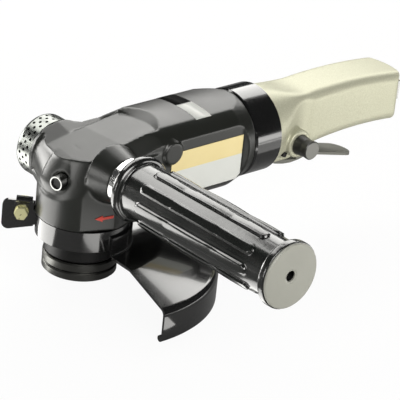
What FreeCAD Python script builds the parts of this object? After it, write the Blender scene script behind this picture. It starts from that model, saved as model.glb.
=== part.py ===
import FreeCAD, Part
import math
import os

# Pneumatic angle grinder for 125 mm discs, in millimetres.
# The origin is on the spindle axis, in the face of the inner flange that the disc sits on.
# +Z runs up the spindle, +X back along the motor to the air inlet,
# the side handle points along -Y and the exhaust silencer along +Y.

# Shared clearances
overrun = 1.0
running_gap = 0.05
seat_gap = 0.05
body_gap = 0.3

# Disc end of the spindle
flange_radius = 20.0
flange_height = 5.0
flange_chamfer = 0.7
pilot_radius = 11.1
pilot_height = 2.0
nut_height = 4.6
nut_recess_gap = 1.2
nut_recess_room = 0.4
spanner_hole_radius = 2.5
spanner_hole_circle = 15.4
spanner_hole_depth = 3.0
thread_radius = 6.95
thread_gap = 0.1
thread_reach = 9.0
thread_chamfer = 1.0
thread_top = -2.2
thread_relief_radius = 6.2
free_end_radius = 6.7
free_end_top = -5.3
free_end_run = 0.3

# Spindle and its bearings
seal_journal_radius = 8.4
bearing_journal_radius = 7.5
lower_bearing_radius = 16.0
lower_bearing_height = 9.0
lower_bearing_bottom = 14.8
retainer_height = 1.6
gear_seat_radius = 6.5
top_journal_radius = 5.0
top_bearing_radius = 8.0
top_bearing_bottom = 58.0
top_bearing_height = 6.0
race_share = 0.27
retainer_width = 2.2
shield_depth = 0.5

# Bevel gears
motor_axis_height = 50.3
crown_teeth = 29
pinion_teeth = 14
crown_pitch_radius = 18.3
tooth_face = 6.0
tooth_addendum = 0.8
tooth_dedendum = 1.2
tooth_root_width = 2.0
tooth_tip_width = 1.0
tooth_sink = 0.6
crown_hub_radius = 11.0
crown_hub_height = 4.0
crown_back_height = 3.6
crown_rim = 0.8
pinion_hub_length = 3.0

# Neck and bearing cap
cap_nose_radius = 19.6
cap_nose_bottom = 5.5
neck_radius = 22.4
neck_bottom = 14.6
head_bottom = 26.2
cap_spigot_radius = 20.5
cap_spigot_height = 4.0
seal_outer_radius = 12.5
seal_height = 4.0
cap_lip_radius = 9.4
cap_edge = 0.8

# Gear head casting
head_radius = 25.4
head_wall_top = 78.0
gear_cavity_radius = 20.6
gear_cavity_shoulder = 46.5
gear_cavity_top_radius = 12.0
gear_cavity_top = 58.0
front_lean_radius = 34.0
front_lean_low = 35.1
front_lean_top_x = 18.5
front_lean_top = 61.1
front_lean_shift = 9.9
facet_half_width = 16.0
facet_front_x = -13.0
facet_front_height = 64.4
facet_mid_x = 9.2
facet_mid_height = 69.2
facet_back_x = 33.0
facet_back_height = 72.2
facet_tilt_share = -0.045
facet_side_front_height = 63.0
step_radius = 35.4
step_low = 72.0
step_high = 74.8
step_run = 5.8
cheek_low_height = 54.0
cheek_low_reach = 25.0
front_chord_x = -18.0
front_chord_y = 18.3
cheek_y = 25.2
cheek_mid_x = 14.0
cheek_mid_y = 24.6
cheek_end_x = 34.0
cheek_bottom = 27.6
cheek_top = 62.0
locator_boss_x = 39.0
locator_boss_height = 60.5
locator_boss_radius = 6.0
locator_boss_rise = 1.6
side_facet_rise_share = 0.216
side_facet_tilt_share = 0.25
side_level_height = 65.8
side_ramp_x = 24.5
side_ramp_share = 0.5

# Motor barrel casting
barrel_radius = 27.6
barrel_half_width = 22.5
barrel_arch_radius = 80.0
barrel_arch_height = 74.6
barrel_flat_bottom = 23.0
underside_clear_radius = 27.3
barrel_taper_start = 86.0
barrel_end = 98.3
barrel_end_radius = 24.3
barrel_flat_end = 89.5
barrel_runout = 4.5
motor_bore_radius = 20.0
motor_bore_start = 29.4
pinion_well_radius = 10.6
pinion_well_start = 11.0
spigot_radius = 21.8
spigot_length = 9.5

# Exhaust side and silencer
silencer_height = 51.3
silencer_boss_radius = 17.5
silencer_boss_reach = 27.0
silencer_boss_root = 8.0
silencer_boss_root_radius = 24.4
exhaust_pocket_radius = 14.6
exhaust_pocket_depth = 4.0
exhaust_duct_radius = 1.9
exhaust_duct_circle = 23.6
exhaust_duct_angle = 35.0
exhaust_duct_start = 5.0
exhaust_duct_length = 71.0
exhaust_slot_start = 44.0
exhaust_slot_width = 2.4
silencer_radius = 17.0
silencer_wall = 1.0
silencer_reach = 39.5
silencer_edge_round = 3.0
silencer_hole_radius = 0.85
silencer_holes_round = 24
silencer_hole_rows = 3
silencer_row_pitch = 2.7
silencer_first_row = 29.8
silencer_end_holes = 12
silencer_end_circle = 9.0
silencer_felt_wall = 3.0

# Front lock plunger
lock_angle = 194.0
lock_sleeve_radius = 3.8
lock_bore_radius = 3.1
lock_sleeve_reach = 26.8
lock_sleeve_root = 20.9
lock_stroke = 3.0
lock_height = 51.7
lock_plunger_recess = 1.0
lock_plunger_length = 5.0
lock_pin_radius = 1.6
lock_pin_length = 3.2

# Side handle
handle_axis_height = 56.8
handle_boss_root = 18.0
handle_boss_reach = 32.0
handle_boss_root_radius = 16.0
handle_boss_end_radius = 12.6
collar_radius = 13.7
collar_length = 7.0
collar_round = 1.0
grip_flange_radius = 17.9
grip_flange_length = 5.0
grip_radius = 15.0
grip_belly_radius = 15.5
grip_length = 105.3
grip_end_length = 4.8
grip_end_round = 1.2
rib_count = 9
rib_width = 5.0
rib_rise = 1.0
rib_wave = 0.45
rib_waves = 3
rib_start = 15.2
rib_end = 12.8
rib_top_angle = 100.0
stud_radius = 5.0
stud_root = 23.4
end_disc_radius = 17.2
end_disc_height = 1.3
end_disc_chamfer = 0.5
end_hole_radius = 2.9
end_hole_rim = 1.0
end_hole_depth = 3.2

# Motor
front_plate_length = 8.0
rear_plate_length = 8.0
liner_length = 44.0
liner_bore_radius = 16.4
liner_offset = 1.2
rotor_radius = 15.0
rotor_end_gap = 0.2
rotor_shaft_radius = 5.0
rotor_nose_radius = 4.0
rotor_nose_start = 12.4
vane_count = 5
vane_slot_width = 2.2
vane_width = 2.1
vane_depth = 8.0
vane_inset = 0.1
rotor_bearing_radius = 9.5
rotor_bearing_length = 6.0
exhaust_port_width = 2.4
exhaust_port_count = 5
exhaust_port_pitch = 7.0
exhaust_port_start = 8.0
air_port_radius = 1.8
air_port_circle = 12.8
air_port_angles = (160.0, 185.0, 210.0)

# Clamp ring between motor and handle
ring_radius = 24.8
ring_start = 98.7
ring_length = 19.2
ring_chamfer = 0.9

# Rear handle, whose sections are half widths and heights above and below the motor axis
throttle_flange_radius = 21.6
throttle_flange_length = 3.4
neck_end_x = 150.0
neck_half_width = 14.8
neck_top = 17.9
neck_low = 14.6
waist_x = 132.0
waist_half_width = 17.8
waist_top = 19.9
waist_low = 18.4
waist_round = 12.0
handle_mid_share = 0.535
handle_mid_half_width = 15.0
handle_mid_top = 18.7
handle_mid_low = 11.6
handle_end_x = 221.0
handle_end_half_width = 15.6
handle_end_top = 15.9
handle_end_low = 13.2
handle_round = 5.5
handle_end_bulge = 4.0
handle_cap_length = 16.0
handle_corner = 6.0
handle_heel = 5.0
flange_facet = 2.0
lug_half_width = 9.0
lug_end_x = 146.0
lug_drop = 3.4
lug_round = 5.0
slot_half_width = 5.2
slot_front_x = 127.0
lever_slot_room = 1.0
air_axis_height = 53.0
inlet_bore_radius = 8.6
inlet_bore_length = 26.0
air_passage_radius = 5.5
front_passage_radius = 2.6
front_chamber_radius = 16.0
front_chamber_end = 121.0

# Air inlet
inlet_outer_radius = 8.5
inlet_thread_radius = 5.9
inlet_length = 14.0
inlet_collar_radius = 11.0
inlet_collar_length = 2.6
screen_radius = 7.4
screen_length = 6.0
screen_wall = 0.8

# Throttle valve
valve_x = 154.0
valve_bore_radius = 6.0
valve_chamber_top = 58.0
bush_drop = 7.6
bush_guide_drop = 4.2
bush_rise = 3.4
bush_bore_radius = 3.6
bush_window_radius = 2.6
stem_radius = 2.0
stem_tip_radius = 0.8
stem_tip_length = 1.2
valve_head_radius = 4.8
valve_head_height = 2.4
valve_spring_radius = 3.6
valve_spring_wire = 0.45
valve_spring_turns = 4.5
valve_spring_steps = 12

# Speed regulator knob
knob_x = 134.0
knob_height = 44.0
knob_reach = 32.6
knob_end_radius = 5.4
knob_waist_radius = 5.1
knob_base_radius = 5.9
knob_seat = 22.9
knob_spool_radius = 4.4
knob_spool_end = 9.0
knob_port_radius = 2.4
knob_boss_radius = 8.0
knob_boss_reach = 22.6
knob_edge = 0.6

# Throttle lever
pivot_x = 135.5
pivot_drop = 11.8
lever_pin_radius = 1.5
lever_pin_inset = 1.3
lever_drop_angle = 14.0
lever_half_width = 7.6
lever_tongue_half_width = 4.8
lever_hub_radius = 4.4
lever_thickness = 1.6
lever_tip_x = 195.2
lever_tip_round = 7.2
lever_wide_x = 148.0
lever_line_offset = 1.6
lever_edge = 0.5
keel_points_x = (128.0, 131.5, 137.5, 143.5, 149.5, 156.0)
keel_points_drop = (4.0, 5.3, 6.7, 7.3, 6.9, 5.6)
keel_top_drop = 3.9
keel_top_end_drop = 6.3

# Guard, whose radii are measured from the spindle axis
guard_sheet = 1.5
guard_start_angle = -93.0
guard_sweep = 157.0
guard_collar_radius = 25.15
guard_collar_top = 22.3
guard_plate_height = 11.1
guard_flat_radius = 42.5
guard_rim_radius = 73.4
guard_rim_top = 0.5
guard_rim_bottom = -15.1
guard_bend = 2.6
guard_corner_bend = 3.0
guard_bead_radius = 1.8

# Clamp band with its ears and bolt
band_sheet = 2.4
band_bottom = 14.8
band_top = 25.9
band_gap_angle = 135.0
ear_gap = 4.4
ear_sheet = 2.0
rear_ear_reach = 43.0
rear_ear_bottom = 10.0
rear_ear_top = 28.0
front_ear_reach = 36.8
front_ear_bottom = 22.0
front_ear_root_bottom = 18.0
front_ear_top = 30.6
ear_corner = 3.5
ear_clear_radius = 26.2
curl_start = 26.7
curl_end = 35.2
curl_radius = 1.9
clamp_bolt_reach = 32.0
clamp_bolt_height = 25.2
clamp_bolt_radius = 2.0
clamp_bolt_head_flats = 6.4
clamp_bolt_head_height = 3.4
clamp_bolt_washer_radius = 3.7
clamp_bolt_washer_height = 1.0
clamp_nut_height = 4.0
clamp_bolt_tail = 2.0


def vec(x, y, z):
    return FreeCAD.Vector(x, y, z)


def turned(profile, axis="z", centre=(0, 0), angle=360):
    """A profile of (radius, distance along the axis) pairs, turned about the axis."""
    points = [vec(radius, 0, along) for radius, along in profile]
    face = Part.Face(Part.makePolygon(points + [points[0]]))
    shape = face.revolve(vec(0, 0, 0), vec(0, 0, 1), angle)
    return laid(shape, axis, centre)


def laid(shape, axis, centre=(0, 0)):
    """A shape built up along +Z, laid along another axis and moved to that axis's place."""
    first, second = centre
    if axis == "x":
        shape.rotate(vec(0, 0, 0), vec(0, 1, 0), 90)
        shape.translate(vec(0, first, second))
    elif axis == "y":
        shape.rotate(vec(0, 0, 0), vec(1, 0, 0), -90)
        shape.translate(vec(first, 0, second))
    elif axis == "-y":
        shape.rotate(vec(0, 0, 0), vec(1, 0, 0), 90)
        shape.translate(vec(first, 0, second))
    else:
        shape.translate(vec(first, second, 0))
    return shape


def rod(radius, low, high, axis="z", centre=(0, 0)):
    shape = Part.makeCylinder(radius, high - low, vec(0, 0, low))
    return laid(shape, axis, centre)


def tube(outer, inner, low, high, axis="z", centre=(0, 0)):
    bore = rod(inner, low - overrun, high + overrun, axis, centre)
    return rod(outer, low, high, axis, centre).cut(bore)


def cone(radius_low, radius_high, low, high, axis="z", centre=(0, 0)):
    shape = Part.makeCone(radius_low, radius_high, high - low, vec(0, 0, low))
    return laid(shape, axis, centre)


def block(low, high):
    size = [b - a for a, b in zip(low, high)]
    return Part.makeBox(size[0], size[1], size[2], vec(*low))


def plate_xz(points, low, high):
    """An outline in the XZ plane, carried from low to high along Y."""
    corners = [vec(x, low, z) for x, z in points]
    return Part.Face(Part.makePolygon(corners + [corners[0]])).extrude(vec(0, high - low, 0))


def plate_xy(points, low, high):
    """An outline in the XY plane, carried from low to high along Z."""
    corners = [vec(x, y, low) for x, y in points]
    return Part.Face(Part.makePolygon(corners + [corners[0]])).extrude(vec(0, 0, high - low))


def hexagon(flats, low, high, axis="z", centre=(0, 0)):
    radius = flats / math.sqrt(3)
    turns = [math.radians(60 * n) for n in range(6)]
    points = [(radius * math.cos(t), radius * math.sin(t)) for t in turns]
    return laid(plate_xy(points, low, high), axis, centre)


def rounded_section(x, half_width, top, low, corner):
    """A rounded rectangle in the plane X = x, centred on the motor axis in Y."""
    z_top = motor_axis_height + top
    z_low = motor_axis_height - low
    y = half_width
    c = corner
    k = corner * (1 - math.sqrt(0.5))
    edges = [
        Part.LineSegment(vec(x, -y + c, z_low), vec(x, y - c, z_low)),
        Part.Arc(vec(x, y - c, z_low), vec(x, y - k, z_low + k), vec(x, y, z_low + c)),
        Part.LineSegment(vec(x, y, z_low + c), vec(x, y, z_top - c)),
        Part.Arc(vec(x, y, z_top - c), vec(x, y - k, z_top - k), vec(x, y - c, z_top)),
        Part.LineSegment(vec(x, y - c, z_top), vec(x, -y + c, z_top)),
        Part.Arc(vec(x, -y + c, z_top), vec(x, -y + k, z_top - k), vec(x, -y, z_top - c)),
        Part.LineSegment(vec(x, -y, z_top - c), vec(x, -y, z_low + c)),
        Part.Arc(vec(x, -y, z_low + c), vec(x, -y + k, z_low + k), vec(x, -y + c, z_low)),
    ]
    return Part.Wire([edge.toShape() for edge in edges])


def ball_bearing(inner, outer, low, high, axis="z", centre=(0, 0)):
    """A shielded bearing: two races with the shields set in between them."""
    wall = race_share * (outer - inner)
    profile = [
        (inner, low),
        (inner + wall, low),
        (inner + wall, low + shield_depth),
        (outer - wall, low + shield_depth),
        (outer - wall, low),
        (outer, low),
        (outer, high),
        (outer - wall, high),
        (outer - wall, high - shield_depth),
        (inner + wall, high - shield_depth),
        (inner + wall, high),
        (inner, high),
    ]
    return turned(profile, axis, centre)


def edges_in(shape, low, high):
    """The edges of a shape that lie wholly in a box."""
    room = FreeCAD.BoundBox(vec(*low), vec(*high))
    return [edge for edge in shape.Edges if room.isInside(edge.BoundBox)]


def save(name, shape):
    solids = shape.Solids
    if len(solids) == 1:
        shape = solids[0]
    if not shape.isValid():
        print("not valid:", name)
    print(f"{name}: {len(solids)} solid(s), {shape.Volume:.0f} mm3, {len(shape.Faces)} faces")
    shape.exportStep(f"parts/{name}.step")


# Spindle group
spindle_top = top_bearing_bottom + top_bearing_height
pinion_pitch_radius = crown_pitch_radius * pinion_teeth / crown_teeth
cone_length = math.hypot(crown_pitch_radius, pinion_pitch_radius)
inner_tooth_share = (cone_length - tooth_face) / cone_length
crown_pitch_height = motor_axis_height - pinion_pitch_radius
crown_back = crown_pitch_height - tooth_dedendum - crown_back_height


def spindle():
    profile = [
        (0, -thread_reach),
        (free_end_radius - thread_chamfer, -thread_reach),
        (free_end_radius, -thread_reach + thread_chamfer),
        (free_end_radius, free_end_top),
        (thread_radius, free_end_top + free_end_run),
        (thread_radius, thread_top),
        (thread_relief_radius, thread_top),
        (thread_relief_radius, 0),
        (thread_radius, 0),
        (thread_radius, flange_height + seat_gap),
        (seal_journal_radius, flange_height + seat_gap),
        (seal_journal_radius, lower_bearing_bottom - seat_gap),
        (bearing_journal_radius, lower_bearing_bottom - seat_gap),
        (bearing_journal_radius, crown_back - crown_hub_height - seat_gap),
        (gear_seat_radius, crown_back - crown_hub_height - seat_gap),
        (gear_seat_radius, crown_pitch_height + tooth_sink),
        (top_journal_radius, crown_pitch_height + tooth_sink),
        (top_journal_radius, spindle_top - thread_chamfer),
        (top_journal_radius - thread_chamfer, spindle_top),
        (0, spindle_top),
    ]
    return turned(profile)


def inner_flange():
    profile = [
        (thread_radius + seat_gap, -pilot_height),
        (pilot_radius, -pilot_height),
        (pilot_radius, 0),
        (flange_radius - flange_chamfer, 0),
        (flange_radius, flange_chamfer),
        (flange_radius, flange_height - flange_chamfer),
        (flange_radius - flange_chamfer, flange_height),
        (thread_radius + seat_gap, flange_height),
    ]
    return turned(profile)


def clamp_nut():
    top = -body_gap
    bottom = top - nut_height
    recess = pilot_radius + nut_recess_gap
    recess_floor = -pilot_height - nut_recess_room
    profile = [
        (thread_radius + thread_gap, bottom),
        (flange_radius - flange_chamfer, bottom),
        (flange_radius, bottom + flange_chamfer),
        (flange_radius, top - flange_chamfer),
        (flange_radius - flange_chamfer, top),
        (recess, top),
        (recess, recess_floor),
        (thread_radius + thread_gap, recess_floor),
    ]
    nut = turned(profile)
    for side in (-1, 1):
        centre = (side * spanner_hole_circle, 0)
        hole = rod(spanner_hole_radius, bottom - overrun, bottom + spanner_hole_depth, "z", centre)
        nut = nut.cut(hole)
    return nut


def bevel_tooth(towards):
    """One straight tooth beside the pitch point on +X, tapering to where the gear axes meet.
    towards is 1 for the crown gear's tooth, which points up, and -1 for the pinion's."""
    apex = vec(0, 0, motor_axis_height)
    pitch_point = vec(crown_pitch_radius, 0, crown_pitch_height)
    normal = vec(pinion_pitch_radius, 0, crown_pitch_radius)
    normal.normalize()
    normal = normal * towards
    root = -tooth_dedendum - tooth_sink
    corners = (
        (root, -tooth_root_width / 2),
        (root, tooth_root_width / 2),
        (tooth_addendum, tooth_tip_width / 2),
        (tooth_addendum, -tooth_tip_width / 2),
    )
    wires = []
    for share in (1, inner_tooth_share):
        points = []
        for rise, side in corners:
            point = pitch_point + normal * rise + vec(0, side, 0)
            points.append(apex + (point - apex) * share)
        wires.append(Part.makePolygon(points + [points[0]]))
    return Part.makeLoft(wires, True, True)


def crown_gear():
    inner_radius = crown_pitch_radius * inner_tooth_share
    inner_height = motor_axis_height - pinion_pitch_radius * inner_tooth_share
    drop = tooth_dedendum
    profile = [
        (gear_seat_radius + seat_gap, crown_back - crown_hub_height),
        (crown_hub_radius, crown_back - crown_hub_height),
        (crown_hub_radius, crown_back),
        (crown_pitch_radius + crown_rim, crown_back),
        (crown_pitch_radius + crown_rim, crown_pitch_height - drop - crown_rim / 2),
        (crown_pitch_radius, crown_pitch_height - drop),
        (inner_radius, inner_height - drop),
        (gear_seat_radius + seat_gap, inner_height - drop - overrun),
    ]
    gear = turned(profile)
    tooth = bevel_tooth(1)
    teeth = []
    for n in range(crown_teeth):
        copy = tooth.copy()
        copy.rotate(vec(0, 0, 0), vec(0, 0, 1), 360 * n / crown_teeth)
        teeth.append(copy)
    return gear.fuse(teeth)


def pinion():
    drop = tooth_dedendum
    inner_x = crown_pitch_radius * inner_tooth_share
    inner_radius = pinion_pitch_radius * inner_tooth_share - drop
    outer_radius = pinion_pitch_radius - drop
    profile = [
        (rotor_nose_radius + seat_gap, inner_x),
        (inner_radius, inner_x),
        (outer_radius, crown_pitch_radius),
        (outer_radius, crown_pitch_radius + pinion_hub_length),
        (rotor_nose_radius + seat_gap, crown_pitch_radius + pinion_hub_length),
    ]
    gear = turned(profile, "x", (0, motor_axis_height))
    tooth = bevel_tooth(-1)
    teeth = []
    for n in range(pinion_teeth):
        copy = tooth.copy()
        turn = 360 * (n + 0.5) / pinion_teeth
        copy.rotate(vec(0, 0, motor_axis_height), vec(1, 0, 0), turn)
        teeth.append(copy)
    return gear.fuse(teeth)


# Bearing cap, seal and bearings
def bearing_cap():
    bearing_seat = lower_bearing_radius + seat_gap
    floor = lower_bearing_bottom
    profile = [
        (cap_lip_radius, cap_nose_bottom),
        (cap_nose_radius - cap_edge, cap_nose_bottom),
        (cap_nose_radius, cap_nose_bottom + cap_edge),
        (cap_nose_radius, neck_bottom),
        (neck_radius, neck_bottom),
        (neck_radius, head_bottom),
        (cap_spigot_radius, head_bottom),
        (cap_spigot_radius, head_bottom + cap_spigot_height),
        (bearing_seat, head_bottom + cap_spigot_height),
        (bearing_seat, floor),
        (seal_outer_radius + seat_gap, floor),
        (seal_outer_radius + seat_gap, floor - seal_height),
        (cap_lip_radius, floor - seal_height),
    ]
    return turned(profile)


def spindle_seal():
    inner = seal_journal_radius + running_gap
    bottom = lower_bearing_bottom - seal_height
    return tube(seal_outer_radius, inner, bottom, lower_bearing_bottom)


def lower_bearing():
    inner = bearing_journal_radius + running_gap
    low = lower_bearing_bottom
    return ball_bearing(inner, lower_bearing_radius, low, low + lower_bearing_height)


def bearing_retainer():
    low = lower_bearing_bottom + lower_bearing_height
    inner = lower_bearing_radius - retainer_width
    return tube(lower_bearing_radius, inner, low, low + retainer_height)


def top_bearing():
    inner = top_journal_radius + running_gap
    return ball_bearing(inner, top_bearing_radius, top_bearing_bottom, spindle_top)


# Gear head and motor casting
def barrel():
    """A round barrel with flats at its sides and bottom, an arched top and a tapered back end."""
    axis = (0, motor_axis_height)
    shape = rod(barrel_radius, 0, barrel_taper_start, "x", axis)
    taper = cone(barrel_radius, barrel_end_radius, barrel_taper_start, barrel_end, "x", axis)
    shape = shape.fuse(taper)
    wide = barrel_half_width + barrel_runout
    flat_end = barrel_flat_end
    outline = [
        (-overrun, barrel_half_width),
        (flat_end, barrel_half_width),
        (flat_end + barrel_runout, wide),
        (barrel_end + overrun, wide),
    ]
    outline += [(x, -y) for x, y in reversed(outline)]
    plan = plate_xy(outline, barrel_flat_bottom, head_wall_top)
    arch_centre = barrel_arch_height - barrel_arch_radius
    arch = rod(barrel_arch_radius, -overrun, barrel_end + overrun, "x", (0, arch_centre))
    return shape.common(plan).common(arch)


def front_lean():
    """The leaning cylinder that draws in the top of the head's front."""
    rise = front_lean_top - front_lean_low
    direction = vec(-front_lean_shift, 0, -rise)
    start = vec(front_lean_top_x, 0, front_lean_top) - direction
    return Part.makeCylinder(front_lean_radius, head_wall_top, start, direction)


def head_column():
    column = rod(head_radius, head_bottom, head_wall_top)
    column = column.common(front_lean())
    chord = [
        (front_chord_x, front_chord_y),
        (0, cheek_y),
        (cheek_mid_x, cheek_y),
        (head_radius + overrun, 0),
    ]
    outline = [(-head_radius - overrun, front_chord_y)] + chord
    outline += [(x, -y) for x, y in reversed(outline) if y]
    return column.common(plate_xy(outline, head_bottom, head_wall_top))


def cheeks():
    """The walls that carry the head's sides back to the barrel's flats."""
    outline = [
        (0, cheek_y),
        (cheek_mid_x, cheek_mid_y),
        (cheek_end_x, barrel_half_width),
    ]
    outline += [(x, -y) for x, y in reversed(outline)]
    return plate_xy(outline, cheek_bottom, cheek_top)


def above(point, along, across):
    """A large block that lies above the plane through a point with two directions in it."""
    size = barrel_end
    block_above = Part.makeBox(2 * size, 2 * size, size, vec(-size, -size, 0))
    turn = FreeCAD.Rotation(vec(0, 0, 1), along.cross(across))
    block_above.Placement = FreeCAD.Placement(point, turn)
    return block_above


def centre_facet_cut():
    """The long facet over the gears, which ends at a curved step up to the barrel's top."""
    high = head_wall_top + overrun
    near = -facet_half_width
    across = vec(0, 1, facet_tilt_share)
    points = [
        vec(facet_front_x, near, facet_front_height),
        vec(facet_mid_x, near, facet_mid_height),
        vec(facet_back_x, near, facet_back_height),
    ]
    cut = above(points[0], points[1] - points[0], across)
    cut = cut.fuse(above(points[1], points[2] - points[1], across))
    far_radius = step_radius + step_run
    limit = rod(step_radius, 0, step_low)
    limit = limit.fuse(cone(step_radius, far_radius, step_low, step_high))
    limit = limit.fuse(rod(far_radius, step_high, high))
    strip = block((-far_radius, near, 0), (far_radius, facet_half_width, high))
    return cut.common(limit).common(strip)


def side_facet_cut():
    """The facets on the exhaust side: a rise from the front, a level stretch that leans up
    towards the silencer, and a ramp to the barrel's top."""
    high = head_wall_top + overrun
    far = head_radius + overrun
    across = vec(0, 1, side_facet_tilt_share)
    front = vec(facet_front_x, facet_half_width, facet_side_front_height)
    level = vec(0, facet_half_width, side_level_height)
    ramp = vec(side_ramp_x, facet_half_width, side_level_height)
    cut = above(front, vec(1, 0, side_facet_rise_share), across)
    cut = cut.fuse(above(level, vec(1, 0, 0), across))
    cut = cut.common(above(ramp, vec(1, 0, side_ramp_share), across))
    strip = block((-far, facet_half_width, 0), (step_radius, 2 * far, high))
    return cut.common(strip)


def cheek_cut():
    """The steep face between the centre facet and the wall on the handle side."""
    high = head_wall_top + overrun
    far = head_radius + overrun
    point = vec(facet_front_x, -facet_half_width, facet_front_height)
    along = vec(facet_mid_x - facet_front_x, 0, facet_mid_height - facet_front_height)
    across = vec(0, cheek_low_reach - facet_half_width, facet_front_height - cheek_low_height)
    strip = block((-far, -2 * far, 0), (step_radius, -facet_half_width, high))
    return above(point, along, across).common(strip)


def housing():
    axis = (0, motor_axis_height)
    body = head_column().fuse([barrel(), cheeks()])
    body = body.cut(centre_facet_cut()).cut(cheek_cut())
    boss = cone(
        silencer_boss_root_radius,
        silencer_boss_radius,
        silencer_boss_root,
        silencer_boss_reach,
        "y",
        (0, silencer_height),
    )
    boss = boss.cut(centre_facet_cut())
    body = body.fuse(boss).cut(side_facet_cut())
    handle_boss = cone(
        handle_boss_root_radius,
        handle_boss_end_radius,
        handle_boss_root,
        handle_boss_reach,
        "-y",
        (0, handle_axis_height),
    )
    locator = cone(
        locator_boss_radius + locator_boss_rise,
        locator_boss_radius,
        barrel_half_width - overrun,
        barrel_half_width + locator_boss_rise,
        "-y",
        (locator_boss_x, locator_boss_height),
    )
    spigot = rod(spigot_radius, barrel_end - overrun, barrel_end + spigot_length, "x", axis)
    body = body.fuse([handle_boss, locator, spigot])
    lock_bore = lock_sleeve_radius + seat_gap
    end = barrel_end + spigot_length + overrun
    stud_end = handle_boss_reach + overrun
    cuts = [
        rod(underside_clear_radius, barrel_flat_bottom - overrun, head_bottom),
        rod(gear_cavity_radius, head_bottom - overrun, gear_cavity_shoulder),
        cone(gear_cavity_radius, gear_cavity_top_radius, gear_cavity_shoulder, gear_cavity_top),
        rod(top_bearing_radius + seat_gap, gear_cavity_top - overrun, spindle_top + seat_gap),
        rod(pinion_well_radius, pinion_well_start, motor_bore_start + overrun, "x", axis),
        rod(motor_bore_radius, motor_bore_start, end, "x", axis),
        exhaust_passage(),
        rod(stud_radius + seat_gap, stud_root, stud_end, "-y", (0, handle_axis_height)),
        along_lock(rod(lock_bore, lock_sleeve_root - overrun, lock_sleeve_reach + overrun, "x")),
        along_lock(rod(lock_bore_radius, lock_plunger_tip - lock_stroke - body_gap, lock_sleeve_root, "x")),
    ]
    return body.cut(cuts)


def exhaust_passage():
    """The pocket behind the silencer, the duct beside the motor that leads into it,
    and the slot that joins the duct to the liner's ports."""
    floor = silencer_boss_reach - exhaust_pocket_depth
    turn = math.radians(exhaust_duct_angle)
    duct_y = exhaust_duct_circle * math.cos(turn)
    duct_z = motor_axis_height + exhaust_duct_circle * math.sin(turn)
    start = exhaust_duct_start
    end = start + exhaust_duct_length
    radius = exhaust_duct_radius
    pocket_centre = (0, silencer_height)
    pocket = rod(exhaust_pocket_radius, floor, silencer_boss_reach + overrun, "y", pocket_centre)
    duct = rod(radius, start, end, "x", (duct_y, duct_z))
    lift = rod(radius, duct_y, floor + overrun, "y", (start + radius, duct_z))
    half = exhaust_slot_width / 2
    low = (exhaust_slot_start, motor_bore_radius - overrun, -half)
    slot = block(low, (end, exhaust_duct_circle, half))
    slot.rotate(vec(0, 0, 0), vec(1, 0, 0), exhaust_duct_angle)
    slot.translate(vec(0, 0, motor_axis_height))
    return pocket.fuse([duct, lift, slot])


def along_lock(shape):
    """A shape built along +X through the origin, turned to the lock plunger's direction."""
    shape.rotate(vec(0, 0, 0), vec(0, 0, 1), lock_angle)
    shape.translate(vec(0, 0, lock_height))
    return shape


def lock_sleeve():
    return along_lock(tube(lock_sleeve_radius, lock_bore_radius, lock_sleeve_root, lock_sleeve_reach, "x"))


lock_plunger_back = lock_sleeve_reach - lock_plunger_recess - lock_plunger_length
lock_plunger_tip = lock_plunger_back - lock_pin_length


def lock_plunger():
    face = lock_sleeve_reach - lock_plunger_recess
    back = lock_plunger_back
    profile = [
        (0, lock_plunger_tip),
        (lock_pin_radius, lock_plunger_tip),
        (lock_pin_radius, back),
        (lock_bore_radius - running_gap, back),
        (lock_bore_radius - running_gap, face),
        (0, face),
    ]
    return along_lock(turned(profile, "x"))


# Silencer
def silencer_cap():
    inner = silencer_radius - silencer_wall
    low = silencer_boss_reach
    high = silencer_reach
    bend = silencer_edge_round
    centre = (0, silencer_height)
    outside = rod(silencer_radius, low, high, "y", centre)
    outside = outside.makeFillet(bend, [far_edge(outside, high)])
    inside = rod(inner, low - overrun, high - silencer_wall, "y", centre)
    inside = inside.makeFillet(bend - silencer_wall, [far_edge(inside, high - silencer_wall)])
    cap = outside.cut(inside)
    holes = []
    for row in range(silencer_hole_rows):
        for n in range(silencer_holes_round):
            hole = rod(silencer_hole_radius, inner - overrun, silencer_radius + overrun)
            turn = 360 * (n + row / 2) / silencer_holes_round
            hole.rotate(vec(0, 0, 0), vec(0, 1, 0), turn)
            hole.translate(vec(0, silencer_first_row + row * silencer_row_pitch, silencer_height))
            holes.append(hole)
    for n in range(silencer_end_holes):
        turn = math.radians(360 * n / silencer_end_holes)
        x = silencer_end_circle * math.cos(turn)
        z = silencer_height + silencer_end_circle * math.sin(turn)
        holes.append(rod(silencer_hole_radius, high - silencer_wall - overrun, high + overrun, "y", (x, z)))
    return cap.cut(Part.makeCompound(holes))


def far_edge(shape, along):
    """The round edge of a rod laid along Y that lies furthest out."""
    edges = [e for e in shape.Edges if len(e.Vertexes) == 1]
    return max(edges, key=lambda e: -abs(e.BoundBox.YMin - along) - e.BoundBox.YLength)


def silencer_felt():
    outer = silencer_radius - silencer_wall - seat_gap
    high = silencer_reach - silencer_wall - silencer_edge_round
    return tube(outer, outer - silencer_felt_wall, silencer_boss_reach, high, "y", (0, silencer_height))


# Side handle
collar_start = handle_boss_reach + seat_gap
grip_start = collar_start + collar_length
grip_end = grip_start + grip_flange_length + grip_length
handle_centre = (0, handle_axis_height)


def side_handle_collar():
    profile = [
        (stud_radius + seat_gap, collar_start),
        (collar_radius - collar_round, collar_start),
        (collar_radius, collar_start + collar_round),
        (collar_radius, grip_start - collar_round),
        (collar_radius - collar_round, grip_start),
        (stud_radius + seat_gap, grip_start),
    ]
    return turned(profile, "-y", handle_centre)


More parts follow.
